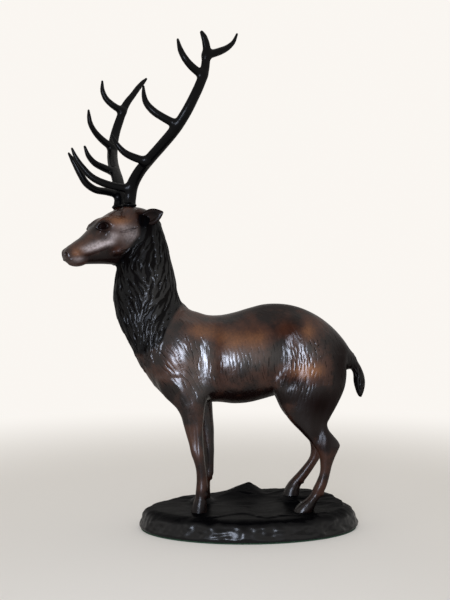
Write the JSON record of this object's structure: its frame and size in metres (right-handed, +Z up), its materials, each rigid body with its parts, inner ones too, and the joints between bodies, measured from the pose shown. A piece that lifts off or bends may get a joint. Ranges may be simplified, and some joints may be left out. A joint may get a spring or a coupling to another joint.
{
  "type": "stag figurine",
  "caption": "Standing stag with its head turned and branching antlers, cast in patinated bronze on an oval ground base with a felt foot.",
  "frame": {"origin": "centre of the felt's underside, on the surface that the statuette stands on", "axes": "+Z up, -X the way the stag's body faces, -Y towards the stag's left side"},
  "size_m": [0.3606, 0.2276, 0.5732],
  "materials": {
    "brown_bronze": "warm brown patina, waxed, rubbed lighter on the flank",
    "black_bronze": "black glossy patina",
    "bronze_rod": "bare bronze rod",
    "zinc_steel": "zinc plated",
    "fibreboard": "plain hardboard",
    "felt": "dark green felt"
  },
  "bodies": {
    "root": {"base_casting": "black_bronze", "closing_board": "fibreboard", "board_screws": "zinc_steel", "felt_pad": "felt", "hoof_studs": "zinc_steel", "hoof_washers": "zinc_steel", "hoof_nuts": "zinc_steel", "torso_casting": "brown_bronze", "tail_casting": "black_bronze", "foreleg_left": "brown_bronze", "foreleg_right": "brown_bronze", "hindleg_left": "brown_bronze", "hindleg_right": "brown_bronze", "leg_pins": "bronze_rod", "neck_pins": "bronze_rod", "neck_head_casting": "brown_bronze", "ear_left": "brown_bronze", "ear_right": "brown_bronze", "antler_left": "black_bronze", "antler_right": "black_bronze", "antler_studs": "zinc_steel"}
  },
  "joints": []
}
